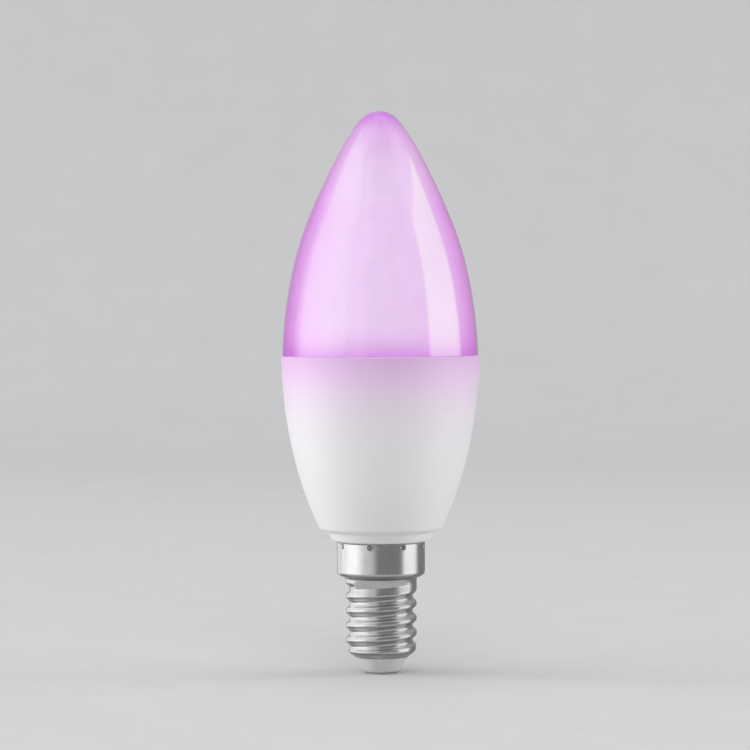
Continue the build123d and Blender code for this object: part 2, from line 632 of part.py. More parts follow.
# printed meander antenna on the end that stands above the LED board
with BuildPart() as antenna:
    with BuildSketch(Plane.XZ.offset(-(outer + 0.05))):
        w = 0.5
        xs = [-6.2 + 1.55 * i for i in range(9)]
        with Locations(*[(x, 60.5) for x in xs]):
            Rectangle(w, 3.6)
        for i in range(8):
            zc = 62.3 - w / 2 if i % 2 == 0 else 58.7 + w / 2
            with Locations(((xs[i] + xs[i + 1]) / 2, zc)):
                Rectangle(1.55, w)
        with Locations((xs[0], 57.2)):
            Rectangle(w, 4.0)
    extrude(amount=0.05)
save(antenna.part, "printed_antenna")
with BuildPart() as module_joints:
    for sx in (-1, 1):
        for i in range(6):
            z0 = 45.6 + i * 1.5
            with BuildSketch(Plane.XY.offset(z0 - 0.4)):
                with BuildLine():
                    Polyline((sx * 7.5, back), (sx * 8.35, back), (sx * 7.5, back + 0.85), close=True)
                make_face()
            extrude(amount=0.8)
save(module_joints.part, "radio_module_solder")
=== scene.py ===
import math
import bpy
import numpy as np
from mathutils import Matrix, Vector


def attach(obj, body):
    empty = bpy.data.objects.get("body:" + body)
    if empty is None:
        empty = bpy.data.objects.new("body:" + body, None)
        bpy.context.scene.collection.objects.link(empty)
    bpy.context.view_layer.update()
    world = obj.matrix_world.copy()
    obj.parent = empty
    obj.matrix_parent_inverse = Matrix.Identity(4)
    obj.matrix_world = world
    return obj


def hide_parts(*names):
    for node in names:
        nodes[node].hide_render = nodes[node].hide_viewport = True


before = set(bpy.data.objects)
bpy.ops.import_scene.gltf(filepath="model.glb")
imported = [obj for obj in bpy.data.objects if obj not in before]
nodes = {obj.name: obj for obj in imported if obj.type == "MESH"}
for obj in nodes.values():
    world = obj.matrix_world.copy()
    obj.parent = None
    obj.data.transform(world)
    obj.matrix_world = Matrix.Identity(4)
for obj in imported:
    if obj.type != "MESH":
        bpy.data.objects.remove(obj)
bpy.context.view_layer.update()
MM = 0.001

# =====================================================================  helpers: curves and lathe

def spline(points, n, start=None, end=None):
    """n points on a smooth curve through points, spaced by chord, with optional end directions."""
    p = np.array(points, float)
    t = np.concatenate([[0], np.cumsum(np.linalg.norm(np.diff(p, axis=0), axis=1))])
    m, h = len(p), np.diff(t)
    a = np.zeros((m, m))
    b = np.zeros((m, 2))
    for i in range(1, m - 1):
        a[i, i - 1], a[i, i], a[i, i + 1] = h[i], 2 * (h[i - 1] + h[i]), h[i - 1]
        b[i] = 3 * (h[i] * (p[i] - p[i - 1]) / h[i - 1] + h[i - 1] * (p[i + 1] - p[i]) / h[i])
    for row, direction in ((0, start), (m - 1, end)):
        if direction is None:
            other = 1 if row == 0 else m - 2
            step = h[0] if row == 0 else h[-1]
            chord = (p[1] - p[0]) if row == 0 else (p[-1] - p[-2])
            a[row, row], a[row, other], b[row] = 2, 1, 3 * chord / step
        else:
            d = np.array(direction, float)
            a[row, row], b[row] = 1, d / np.linalg.norm(d)
    k = np.linalg.solve(a, b)
    out = []
    for u in np.linspace(0, t[-1], n):
        i = min(np.searchsorted(t, u, side="right") - 1, m - 2)
        s = (u - t[i]) / h[i]
        out.append((2 * s**3 - 3 * s**2 + 1) * p[i] + (s**3 - 2 * s**2 + s) * h[i] * k[i]
                   + (3 * s**2 - 2 * s**3) * p[i + 1] + (s**3 - s**2) * h[i] * k[i + 1])
    return [tuple(q) for q in out]


def corner(a, b, c, radius, n=6):
    """Rounds the corner b between a and c with a circular arc."""
    a, b, c = (np.array(v, float) for v in (a, b, c))
    u, v = (a - b) / np.linalg.norm(a - b), (c - b) / np.linalg.norm(c - b)
    angle = math.acos(float(np.clip(u @ v, -1, 1)))
    reach = radius / math.tan(angle / 2)
    middle = (u + v) / np.linalg.norm(u + v)
    centre = b + middle * radius / math.sin(angle / 2)
    first, last = b + u * reach - centre, b + v * reach - centre
    a0 = math.atan2(first[1], first[0])
    turn = math.atan2(first[0] * last[1] - first[1] * last[0], first @ last)
    return [tuple(centre + radius * np.array([math.cos(a0 + turn * i / n), math.sin(a0 + turn * i / n)])) for i in range(n + 1)]


def rounded(points, radii, closed=False):
    """A chain of points with its inner corners rounded; radii is one number or a dict of index to radius."""
    out = []
    count = len(points)
    for i, p in enumerate(points):
        r = radii.get(i, 0) if isinstance(radii, dict) else radii
        if r and (closed or 0 < i < count - 1):
            out += corner(points[i - 1], p, points[(i + 1) % count], r)
        else:
            out.append(tuple(p))
    return out


def subdivided(points, step):
    """Extra points on straight runs longer than step."""
    out = [points[0]]
    for a, b in zip(points, points[1:]):
        n = max(1, int(math.ceil(math.dist(a, b) / step)))
        out += [(a[0] + (b[0] - a[0]) * i / n, a[1] + (b[1] - a[1]) * i / n) for i in range(1, n + 1)]
    return out


def lathe(name, profile, segments, closed=False, shape=None, sharp=0.6):
    """Turns (radius, height) in mm around Z. Open profiles start and end on the axis; closed ones are loops."""
    pr = np.array(profile, float)
    theta = np.arange(segments) * 2 * np.pi / segments
    verts, faces, rows = [], [], []
    total = 0
    for i, (r, z) in enumerate(pr):
        if not closed and i in (0, len(pr) - 1) and abs(r) < 1e-9:
            verts.append(np.array([[0, 0, z]]))
            rows.append((total, 1))
            total += 1
            continue
        rr, zz = np.full(segments, r), np.full(segments, z)
        if shape is not None:
            rr, zz = shape(i, theta, rr, zz)
        verts.append(np.stack([rr * np.cos(theta), rr * np.sin(theta), zz], 1))
        rows.append((total, segments))
        total += segments
    pairs = list(zip(rows, rows[1:])) + ([(rows[-1], rows[0])] if closed else [])
    for (s0, n0), (s1, n1) in pairs:
        for j in range(segments):
            k = (j + 1) % segments
            if n0 == 1:
                faces.append((s0, s1 + j, s1 + k))
            elif n1 == 1:
                faces.append((s0 + j, s1, s0 + k))
            else:
                faces.append((s0 + j, s1 + j, s1 + k, s0 + k))
    return build(name, np.concatenate(verts) * MM, faces, sharp)


def build(name, verts, faces, sharp=0.6):
    """A mesh object with outward faces, smooth except over sharp edges."""
    mesh = bpy.data.meshes.new(name)
    mesh.from_pydata([tuple(v) for v in verts], [], faces)
    mesh.validate()
    co = np.array([v.co for v in mesh.vertices])
    volume = 0.0
    mesh.calc_loop_triangles()
    tris = np.array([t.vertices for t in mesh.loop_triangles])
    a, b, c = co[tris[:, 0]], co[tris[:, 1]], co[tris[:, 2]]
    volume = float(np.einsum("ij,ij->i", a, np.cross(b, c)).sum())
    if volume < 0:
        mesh.flip_normals()
    mesh.polygons.foreach_set("use_smooth", [True] * len(mesh.polygons))
    mesh.set_sharp_from_angle(angle=sharp)
    mesh.update()
    ob = bpy.data.objects.new(name, mesh)
    bpy.context.scene.collection.objects.link(ob)
    return ob


def smoothstep(x):
    x = np.clip(x, 0, 1)
    return x * x * (3 - 2 * x)


# =====================================================================  helpers: materials

class Graph:
    """A node material with short calls for the usual patterns. Coordinates are the object's own, in metres."""

    def __init__(self, name):
        self.mat = bpy.data.materials.new(name)
        self.mat.use_nodes = True
        self.nt = self.mat.node_tree
        self.nt.nodes.clear()
        self.out = self.nt.nodes.new("ShaderNodeOutputMaterial")
        self.position = self.nt.nodes.new("ShaderNodeTexCoord").outputs["Object"]

    def node(self, kind, **settings):
        n = self.nt.nodes.new(kind)
        for key, value in settings.items():
            setattr(n, key, value)
        return n

    def put(self, socket, value):
        if isinstance(value, bpy.types.NodeSocket):
            self.nt.links.new(value, socket)
        elif hasattr(value, "__len__") and socket.type == "RGBA" and len(value) == 3:
            socket.default_value = (*value, 1)
        else:
            socket.default_value = value

    def principled(self, **values):
        n = self.node("ShaderNodeBsdfPrincipled")
        for key, value in values.items():
            self.put(n.inputs[key.replace("_", " ")], value)
        self.nt.links.new(n.outputs[0], self.out.inputs["Surface"])
        return n

    def scaled(self, scale):
        n = self.node("ShaderNodeMapping")
        self.put(n.inputs["Vector"], self.position)
        n.inputs["Scale"].default_value = scale
        return n.outputs[0]

    def noise(self, scale, detail=3.0, rough=0.5, vector=None, distortion=0.0):
        n = self.node("ShaderNodeTexNoise")
        self.put(n.inputs["Vector"], vector if vector is not None else self.position)
        n.inputs["Scale"].default_value = scale
        n.inputs["Detail"].default_value = detail
        n.inputs["Roughness"].default_value = rough
        n.inputs["Distortion"].default_value = distortion
        return n.outputs["Fac"]

    def voronoi(self, scale, feature="F1", distance="EUCLIDEAN", vector=None, output="Distance"):
        n = self.node("ShaderNodeTexVoronoi", feature=feature)
        if feature != "DISTANCE_TO_EDGE":
            n.distance = distance
        self.put(n.inputs["Vector"], vector if vector is not None else self.position)
        n.inputs["Scale"].default_value = scale
        return n.outputs[output]

    def wave(self, scale, direction="Z", distortion=0.0, profile="SIN"):
        n = self.node("ShaderNodeTexWave", wave_type="BANDS", bands_direction=direction, wave_profile=profile)
        self.put(n.inputs["Vector"], self.position)
        n.inputs["Scale"].default_value = scale
        n.inputs["Distortion"].default_value = distortion
        return n.outputs["Fac"]

    def ramp(self, fac, stops, interpolation="LINEAR"):
        n = self.node("ShaderNodeValToRGB")
        cr = n.color_ramp
        cr.interpolation = interpolation
        while len(cr.elements) < len(stops):
            cr.elements.new(0.5)
        for e, (at, colour) in zip(cr.elements, stops):
            e.position = at
        for e, (at, colour) in zip(cr.elements, stops):
            e.color = (*colour, 1) if hasattr(colour, "__len__") else (colour, colour, colour, 1)
        self.put(n.inputs["Fac"], fac)
        return n.outputs["Color"]

    def span(self, value, a, b, c, d, smooth=False):
        n = self.node("ShaderNodeMapRange")
        if smooth:
            n.interpolation_type = "SMOOTHSTEP"
        self.put(n.inputs["Value"], value)
        for key, x in (("From Min", a), ("From Max", b), ("To Min", c), ("To Max", d)):
            n.inputs[key].default_value = x
        return n.outputs["Result"]

    def blend(self, fac, a, b, mode="MIX"):
        n = self.node("ShaderNodeMix", data_type="RGBA", blend_type=mode)
        self.put(n.inputs[0], fac)
        self.put(n.inputs[6], a)
        self.put(n.inputs[7], b)
        return n.outputs[2]

    def maths(self, operation, a, b=0.0):
        n = self.node("ShaderNodeMath", operation=operation)
        self.put(n.inputs[0], a)
        self.put(n.inputs[1], b)
        return n.outputs[0]

    def axis(self, name):
        n = self.node("ShaderNodeSeparateXYZ")
        self.put(n.inputs[0], self.position)
        return n.outputs[name]

    def bump(self, height, strength, distance):
        n = self.node("ShaderNodeBump")
        n.inputs["Strength"].default_value = strength
        n.inputs["Distance"].default_value = distance
        self.put(n.inputs["Height"], height)
        return n.outputs["Normal"]


def shade(colour, by):
    return tuple(min(1.0, c * by) for c in colour)


def plastic(name, colour, rough=0.45, grain=900, depth=0.00002, contrast=0.06, specular=0.5):
    """Moulded plastic: slight mottle in the colour, fine grain in gloss and surface."""
    g = Graph(name)
    broad, fine = g.noise(140, 3), g.noise(grain * 3, 2)
    tone = g.ramp(broad, [(0.3, shade(colour, 1 - contrast)), (0.7, shade(colour, 1 + contrast))])
    g.principled(Base_Color=tone, Roughness=g.span(fine, 0.3, 0.7, rough - 0.06, rough + 0.06),
                 Specular_IOR_Level=specular, Normal=g.bump(fine, 0.35, depth))
    return g.mat


def metal(name, colour, rough=0.3, stretch=(1, 1, 1), scale=1500, depth=0.00001, contrast=0.08):
    """Bare or plated metal with drawn or rolled grain."""
    g = Graph(name)
    grain = g.noise(scale, 4, 0.6, g.scaled(stretch))
    stain = g.noise(180, 4, 0.6)
    tone = g.ramp(stain, [(0.3, shade(colour, 1 - contrast)), (0.7, shade(colour, 1 + contrast * 0.5))])
    g.principled(Base_Color=tone, Metallic=1.0, Roughness=g.span(g.maths("ADD", grain, stain), 0.7, 1.3, rough - 0.07, rough + 0.08),
                 Normal=g.bump(grain, 0.3, depth))
    return g.mat


def circuit(name, mask, copper):
    """Glass laminate under solder mask, with buried tracks and pours showing lighter, on boards that stand in XZ."""
    g = Graph(name)
    flat = g.scaled((1, 0, 1))
    pour = g.voronoi(230, "DISTANCE_TO_EDGE", vector=flat)
    tracks = g.voronoi(520, distance="CHEBYCHEV", vector=flat)
    lines = g.maths("MAXIMUM", g.span(pour, 0.03, 0.06, 1, 0), g.span(g.maths("PINGPONG", tracks, 0.18), 0.05, 0.08, 1, 0))
    weave = g.maths("MULTIPLY", g.wave(1300, "X"), g.wave(1300, "Z"))
    tone = g.blend(g.maths("MULTIPLY", lines, 0.75), mask, copper)
    tone = g.blend(g.maths("MULTIPLY", weave, 0.25), tone, shade(mask, 1.6))
    height = g.maths("ADD", lines, g.maths("MULTIPLY", weave, 0.15))
    g.principled(Base_Color=tone, Roughness=g.span(g.noise(700), 0.3, 0.7, 0.22, 0.38), Specular_IOR_Level=0.5,
                 Normal=g.bump(height, 0.5, 0.00003))
    return g.mat


# =====================================================================  cap

PITCH, CREST, ROOT, ARC = 2.822, 6.88, 6.08, 0.822


def thread_dip(from_root):
    """How far the rolled profile lies under the crests, at a height measured from the groove's root."""
    h = np.abs(from_root)
    near_root = ROOT + ARC - np.sqrt(np.maximum(ARC**2 - h**2, 0))
    near_crest = CREST - ARC + np.sqrt(np.maximum(ARC**2 - (PITCH / 2 - h) ** 2, 0))
    return CREST - np.where(h < PITCH / 4, near_root, near_crest)


FOOT = np.array(spline([(5.28, 3.20), (5.52, 3.38), (5.80, 3.58), (6.06, 3.77), (6.30, 3.96), (6.50, 4.17), (6.63, 4.40), (6.68, 4.70), (6.70, 5.2), (6.80, 5.8), (6.95, 6.5),
                        (7.0, 9.0)], 160))


def cap_radius(theta, z):
    """Outer radius of the cap below the shoulder: right-hand thread whose groove runs out at the top, foot rolled in."""
    deg = np.degrees(theta) % 360
    k = np.round((z - 14.85) / PITCH - deg / 360)
    turn = deg + 360 * k
    dip = thread_dip(z - (14.85 + PITCH * turn / 360))
    dip = dip * (1 - smoothstep((turn - 188) / 50))
    # past the run-out a shallow trough goes on round the neck, fading out at the right
    trough = 14.66 + PITCH * deg / 360
    depth = 0.36 * smoothstep((deg - 200) / 30) * (1 - smoothstep((deg - 300) / 55))
    dip = np.maximum(dip, depth * np.clip(1 - np.abs(z - trough) / np.where(z > trough, 1.50, 1.15), 0, 1))
    r = CREST - dip
    foot = np.interp(z, FOOT[:, 1], FOOT[:, 0])
    h = 0.10
    m = np.clip(0.5 + 0.5 * (foot - r) / h, 0, 1)
    return foot * (1 - m) + r * m - h * m * (1 - m)


DIMPLES = [math.radians(30.2 + 45 * i) for i in range(8)]


def dimple(theta, z, r):
    """Inward depth of the crimp punches near the skirt's top edge."""
    dent = np.zeros_like(theta)
    for a in DIMPLES:
        d = (theta - a + np.pi) % (2 * np.pi) - np.pi
        rho = np.sqrt((r * d) ** 2 + (z - 24.76) ** 2)
        dent += 0.70 * np.clip(1 - (rho / 0.47) ** 2, 0, 1) ** 0.5
        dent -= 0.035 * np.exp(-(((rho - 0.60) / 0.11) ** 2))
    return dent


foot_edge = [(5.14, 3.36), (5.135, 3.25), (5.155, 3.17), (5.21, 3.14), (5.27, 3.16)]
climb = [(0, float(z)) for z in np.arange(3.22, 17.99, 0.113)]
shoulder = corner((6.90, 18.0), (6.95, 18.42), (7.5, 18.66), 0.20, 5) + \
    spline([(7.35, 18.585), (7.7, 18.74), (8.05, 18.92), (8.32, 19.17), (8.46, 19.47), (8.5, 19.85)], 16, (1, 0.5), (0, 1))
band = [(8.5, float(z)) for z in (20.2, 21.0, 22.0, 23.0, 23.7)] + [(8.5, float(z)) for z in np.arange(24.0, 25.28, 0.065)]
lip = [(8.49, 25.31), (8.455, 25.345), (8.40, 25.36), (8.33, 25.36), (8.27, 25.335), (8.25, 25.29)]
inside_band = [(8.25, float(z)) for z in (25.1, 24.9, 24.7, 24.5, 24.3, 24.0, 23.0, 21.5, 19.9)]
inside_shoulder = spline([(8.25, 19.85), (8.21, 19.5), (8.1, 19.28), (7.85, 19.08), (7.55, 18.95), (7.2, 18.85)], 8, (0, -1), (-1, -0.2)) + \
    [(6.95, 18.72), (6.74, 18.5), (6.66, 18.1), (6.64, 17.75)]
descend = [(0, float(z)) for z in np.arange(17.6, 3.5, -0.22)]
chain = foot_edge + climb + shoulder + band + lip + inside_band + inside_shoulder + descend
i_climb = (len(foot_edge), len(foot_edge) + len(climb))
i_inner = (len(chain) - len(descend), len(chain))
i_skirt = (i_climb[1] + len(shoulder), i_climb[1] + len(shoulder) + len(band) + len(lip) + len(inside_band))


def cap_shape(i, theta, r, z):
    if i_climb[0] <= i < i_climb[1]:
        return cap_radius(theta, z), z
    if i_inner[0] <= i:
        return np.maximum(cap_radius(theta, z) - 0.25, 5.14), z
    if i_skirt[0] <= i < i_skirt[1]:
        return r - dimple(theta, z, r), z
    return r, z


cap = lathe("screw_cap_sheet", chain, 360, closed=True, shape=cap_shape, sharp=1.2)
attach(cap, "root")
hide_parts("screw_shell")

# insulator cone
cone = rounded([(0.95, 0.45), (2.55, 0.45), (2.55, 0.30), (3.02, 0.30), (3.38, 0.42), (5.12, 3.04), (5.12, 3.55), (5.75, 3.95),
                (5.75, 4.6), (4.35, 4.6), (4.35, 5.5), (3.6, 5.5), (3.6, 4.2), (0.95, 4.2)],
               {0: 0.03, 1: 0.05, 2: 0.05, 3: 0.18, 4: 0.22, 5: 0.15, 7: 0.1, 8: 0.12, 9: 0.1, 10: 0.12, 11: 0.12, 12: 0.1, 13: 0.05}, closed=True)
insulator = lathe("insulator_cone", subdivided(cone, 0.5), 160, closed=True, sharp=0.9)
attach(insulator, "root")
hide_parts("base_insulator")

# centre contact: domed rivet with a rolled edge, drilled shank
rivet = [(0, 0.0), (0.6, 0.0), (1.2, 0.0), (1.7, 0.012), (2.0, 0.04), (2.22, 0.10), (2.35, 0.20), (2.4, 0.32), (2.38, 0.42), (2.32, 0.45),
         (0.95, 0.45), (0.9, 0.5), (0.9, 5.3), (0.82, 5.4), (0.5, 5.4), (0.42, 5.3), (0.4, 2.3), (0.3, 2.2), (0, 2.2)]
contact = lathe("centre_contact_rivet", subdivided(rivet, 0.4), 96, sharp=0.7)
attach(contact, "root")
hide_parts("centre_contact")

# =====================================================================  housing

HOUSING = [(12.05, 28.4), (13.58, 32.0), (15.35, 37.0), (16.96, 43.0), (18.08, 49.0), (18.77, 55.0), (19.08, 61.0)]
SEAM, RIM = 61.25, 19.08
DIFFUSER = [(18.90, SEAM), (18.54, 67.0), (17.76, 73.0), (16.53, 79.0), (14.71, 85.0), (12.29, 91.0), (9.47, 97.0), (6.80, 102.0),
            (5.55, 104.0), (4.52, 105.5), (3.66, 106.58), (2.75, 107.39), (1.6, 107.97), (0.0, 108.25)]

outer = spline(HOUSING, 90, (0.42, 1), (0.012, 1))
outer_r = {round(z, 3): r for r, z in outer}


def housing_outer(z):
    zs = [p[1] for p in outer]
    return float(np.interp(z, zs, [p[0] for p in outer]))


neck_climb = [(0, float(z)) for z in np.arange(5.6, 17.31, 0.2)]
collar = [(6.43, 17.6), (6.45, 18.3), (7.1, 18.9), (7.7, 18.95), (8.05, 19.3), (8.05, 21.0), (8.05, 23.0), (8.05, 24.0), (8.05, 24.4), (8.05, 24.8),
          (8.05, 25.2), (8.05, 25.5), (8.45, 25.5), (8.8, 25.52)]
foot = spline([(8.8, 25.52), (9.15, 25.60), (9.45, 25.80), (9.64, 26.12)], 10, (1, 0), (0.22, 1)) + \
    [(9.83, 26.6)] + corner((9.64, 26.12), (10.07, 27.30), (11.0, 27.60), 0.30, 6)[0:] + \
    spline([(10.8, 27.52), (11.3, 27.68), (11.68, 27.90), (11.90, 28.14), (12.05, 28.4)], 14, (1, 0.3), (0.42, 1))
rim = corner((19.07, 60.6), (19.08, SEAM), (18.6, SEAM), 0.20, 7) + corner((18.8, SEAM), (18.2, SEAM), (17.75, 60.85), 0.06, 3) + \
    [(17.75, 60.85), (17.75, 59.9), (18.0, 59.7), (18.0, 59.3), (17.75, 59.1), (17.75, 57.9)]
inner = [(housing_outer(z) - 1.3, z) for z in np.arange(55.0, 29.9, -0.8)]
inner[0] = (17.465, 55.0)
core = [(11.3, 29.65), (10.9, 29.3), (7.0, 29.3), (7.0, 27.0), (7.0, 25.6), (7.0, 25.0), (7.0, 24.5), (7.0, 24.0), (7.0, 20.2), (4.5, 19.4), (4.5, 14.0),
        (4.5, 9.0), (4.5, 7.4), (4.5, 6.6), (4.5, 5.6)]
h_chain = neck_climb + collar + foot + outer[1:-1] + rim + inner + core
h_neck = len(neck_climb)


def housing_shape(i, theta, r, z):
    if i < h_neck:
        r = cap_radius(theta, z) - 0.45
        r = np.minimum(r, 6.43)
    elif r[0] < 8.2 and 19.0 < z[0] < 25.45 and i < h_neck + len(collar):
        d = dimple(theta, z, 8.05)
        r = r - np.maximum(d, 0)
    off = (theta - math.radians(60) + np.pi) % (2 * np.pi) - np.pi
    beside = np.abs(off * r) < 0.55
    if i < h_neck:
        r = np.where(beside & (z < 13.1), np.minimum(r, 4.97), r)
    if z[0] < 6.9:
        z = np.where(beside, 6.9, z)
    return r, z


housing = lathe("housing_shell", h_chain, 320, closed=True, shape=housing_shape, sharp=0.55)
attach(housing, "root")
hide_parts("housing")


def bevelled_box(name, centre, size, bevel):
    """One block with rounded edges, in mm."""
    x, y, z = (s / 2 for s in size)
    verts = [((centre[0] + sx * x) * MM, (centre[1] + sy * y) * MM, (centre[2] + sz * z) * MM) for sx in (-1, 1) for sy in (-1, 1) for sz in (-1, 1)]
    faces = [(0, 1, 3, 2), (4, 6, 7, 5), (0, 4, 5, 1), (2, 3, 7, 6), (0, 2, 6, 4), (1, 5, 7, 3)]
    ob = build(name, verts, faces, 0.6)
    mod = ob.modifiers.new("edges", "BEVEL")
    mod.width, mod.segments, mod.limit_method = bevel * MM, 3, "ANGLE"
    return ob


ribs = []
for sx in (-1, 1):
    for sy in (-1, 1):
        rib = bevelled_box(f"board_guide_rib_{'left' if sx < 0 else 'right'}_{'front' if sy < 0 else 'back'}",
                           (sx * 6.55, sy * 1.2, 23.8), (1.2, 0.8, 6.4), 0.12)
        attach(rib, "root")
        ribs.append(rib)

# =====================================================================  diffuser

d_outer = spline(DIFFUSER, 150, (-0.03, 1), (-1, 0))


def inset(curve, depth):
    """The curve moved inwards along its normal, by a depth that may vary with the radius."""
    p = np.array(curve)
    t = np.gradient(p, axis=0)
    t /= np.linalg.norm(t, axis=1)[:, None]
    d = np.array([depth(r) if callable(depth) else depth for r, z in curve])
    q = p + d[:, None] * np.stack([-t[:, 1], t[:, 0]], 1)
    q[-1] = (0.0, p[-1][1] - d[-1])
    keep = [tuple(q[0])]
    for a in q[1:]:
        if a[1] > keep[-1][1] + 1e-4 and (a[0] > 1e-3 or a is q[-1]):
            keep.append(tuple(a))
    if keep[-1][0] != 0.0:
        keep.append(tuple(q[-1]))
    return keep


tip_down = list(reversed(d_outer))
wall = [p for p in inset(d_outer, 1.2) if p[1] > 62.4]
d_chain = tip_down + [(18.85, SEAM + 0.02), (18.78, SEAM), (18.2, SEAM), (17.65, SEAM)] + \
    [(17.65, 59.8), (17.9, 59.65), (17.9, 59.35), (17.65, 59.2), (17.65, 58.5), (17.55, 58.4), (16.55, 58.4), (16.45, 58.5), (16.45, 60.5), (17.0, 61.5)] + wall
d_chain[len(tip_down) - 1] = (18.895, SEAM + 0.10)
shell = lathe("diffuser_shell", d_chain, 256, sharp=0.7)
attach(shell, "root")
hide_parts("diffuser")

# the frosted inner face, which is what glows
def glow_depth(r):
    """Clear wall in front of the frosting: full at the belly, thinner towards the tip."""
    return max(0.36, min(1.10, 0.086 * r))


front = [p for p in inset(d_outer, glow_depth) if p[1] > SEAM + 0.06]
behind = [p for p in inset(d_outer, lambda r: glow_depth(r) + 0.22) if p[1] > SEAM + 0.30]
g_chain = list(reversed(front)) + [(front[0][0] + 0.06, SEAM + 0.13), (18.10, SEAM + 0.09), (18.68, SEAM + 0.08), (18.68, SEAM + 0.03), (17.64, SEAM + 0.03)] + behind
glow = lathe("diffuser_frosted_lining", g_chain, 200, sharp=0.7)
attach(glow, "root")

# =====================================================================  materials of the outer pieces

g = Graph("diffuser_polycarbonate")
ripple = g.noise(2600, 2, 0.5)
swell = g.noise(160, 2, 0.5)
fine_height = g.maths("ADD", ripple, g.maths("MULTIPLY", swell, 2.0))
p = g.principled(Base_Color=(1, 1, 1), Roughness=0.0, IOR=1.10, Transmission_Weight=1.0, Coat_Weight=1.0, Coat_Roughness=0.09, Coat_IOR=1.8)
g.put(p.inputs["Coat Normal"], g.bump(fine_height, 0.25, 0.000012))
absorb = g.node("ShaderNodeVolumeAbsorption")
SIGMA = (115.0, 600.0, 100.0)   # absorption per metre of wall for red, green and blue
absorb.inputs["Density"].default_value = max(SIGMA)
absorb.inputs["Color"].default_value = (*[1 - s / max(SIGMA) for s in SIGMA], 1)
g.nt.links.new(absorb.outputs[0], g.out.inputs["Volume"])
shell.data.materials.append(g.mat)

# brightness wanted outside the wall, from the seam to the tip, then what the frosting must give behind the wall
SEEN = [(61.3, (0.66, 0.285, 0.76)), (61.9, (0.705, 0.337, 0.80)), (62.7, (0.735, 0.405, 0.81)), (63.6, (0.77, 0.465, 0.84)), (65.2, (0.81, 0.548, 0.87)),
        (67.1, (0.825, 0.585, 0.885)), (72.0, (0.828, 0.592, 0.89)), (82.5, (0.83, 0.598, 0.893)), (91.2, (0.83, 0.625, 0.89)), (97.0, (0.829, 0.62, 0.889)),
        (100.9, (0.82, 0.565, 0.876)), (103.7, (0.786, 0.49, 0.855)), (104.7, (0.76, 0.44, 0.835)), (106.0, (0.71, 0.34, 0.80)), (107.2, (0.655, 0.24, 0.77))]
d_heights = [z for r, z in d_outer]
d_radii = [r for r, z in d_outer]


def glow_colour(z, seen):
    """Light the frosting must give so that, through the tinted wall and with the room's light added, it shows as seen."""
    wall = glow_depth(float(np.interp(z, d_heights, d_radii))) * MM
    upward = float(smoothstep((z - 88.0) / 18.0))
    out = []
    for c, k in zip(seen, SIGMA):
        through = math.exp(-k * wall)
        room = 0.02 + 0.055 * upward + (0.20 + 0.05 * upward) * through**2
        out.append(max(0.0, c - room) / through)
    return out[0] * 1.06, out[1] * 1.13, out[2] * 1.05


g = Graph("frosted_lining")
height = g.span(g.axis("Z"), 0.061, 0.108, 0.0, 1.0)
light = g.ramp(height, [((z - 61.0) / 47.0, glow_colour(z, seen)) for z, seen in SEEN])
mottle = g.noise(260, 3, 0.55)
light = g.blend(1.0, light, g.ramp(mottle, [(0.25, 0.975), (0.75, 1.02)]), "MULTIPLY")
fine = g.noise(3000, 2)
g.principled(Base_Color=g.ramp(mottle, [(0.3, (0.30, 0.30, 0.31)), (0.7, (0.33, 0.33, 0.34))]), Roughness=0.9, Specular_IOR_Level=0.0,
             Emission_Color=light, Emission_Strength=1.0, Normal=g.bump(fine, 0.3, 0.00001))
glow.data.materials.append(g.mat)

g = Graph("housing_plastic")
height = g.span(g.axis("Z"), 0.040, 0.062, 0.0, 1.0)
def hat(z):
    return (z - 40.0) / 22.0
# white plastic with painted light: towards the seam the base colour turns violet, standing in for the diffuser's glow
# falling on the housing
colour_with_painted_glow = g.ramp(height, [(hat(40.5), (0.86, 0.86, 0.86)), (hat(45.0), (0.86, 0.845, 0.868)), (hat(49.0), (0.858, 0.81, 0.87)), (hat(52.5), (0.855, 0.75, 0.87)),
                       (hat(55.6), (0.85, 0.675, 0.87)), (hat(58.2), (0.82, 0.59, 0.85)), (hat(60.2), (0.79, 0.54, 0.82)), (hat(61.6), (0.76, 0.46, 0.79))], "B_SPLINE")
speck = g.noise(3200, 3, 0.6)
broad = g.noise(90, 2)
colour_with_painted_glow = g.blend(1.0, colour_with_painted_glow, g.ramp(broad, [(0.3, 0.985), (0.7, 1.01)]), "MULTIPLY")
g.principled(Base_Color=colour_with_painted_glow, Roughness=g.span(speck, 0.3, 0.7, 0.40, 0.50), Specular_IOR_Level=0.45, Normal=g.bump(speck, 0.30, 0.000018))
housing_material = g.mat
for ob in [housing] + ribs:
    ob.data.materials.append(housing_material)

g = Graph("nickel_plate")
drawn = g.noise(2200, 3, 0.6, g.scaled((1.0, 1.0, 0.20)))
grain = g.noise(3400, 3, 0.65)
smear = g.noise(210, 4, 0.6)
tone = g.ramp(g.maths("ADD", g.maths("MULTIPLY", smear, 0.6), g.maths("MULTIPLY", drawn, 0.4)), [(0.3, (0.505, 0.505, 0.503)), (0.7, (0.59, 0.59, 0.587))])
g.principled(Base_Color=tone, Metallic=1.0, Roughness=g.span(g.maths("ADD", drawn, grain), 0.7, 1.3, 0.17, 0.26),
             Normal=g.bump(g.maths("ADD", grain, drawn), 0.35, 0.0000030))
cap.data.materials.append(g.mat)

g = Graph("insulator_moulding")
cloud = g.noise(420, 4, 0.6)
speck = g.noise(2600, 2)
g.principled(Base_Color=g.ramp(cloud, [(0.3, (0.66, 0.66, 0.65)), (0.7, (0.74, 0.74, 0.72))]), Roughness=g.span(speck, 0.3, 0.7, 0.30, 0.42),
             Subsurface_Weight=0.25, Subsurface_Radius=(0.0015, 0.0014, 0.0012), Subsurface_Scale=1.0, Normal=g.bump(speck, 0.3, 0.00001))
insulator.data.materials.append(g.mat)

contact.data.materials.append(metal("contact_brass", (0.68, 0.62, 0.50), 0.28, (1, 1, 1), 2400))

# =====================================================================  materials of the inner pieces

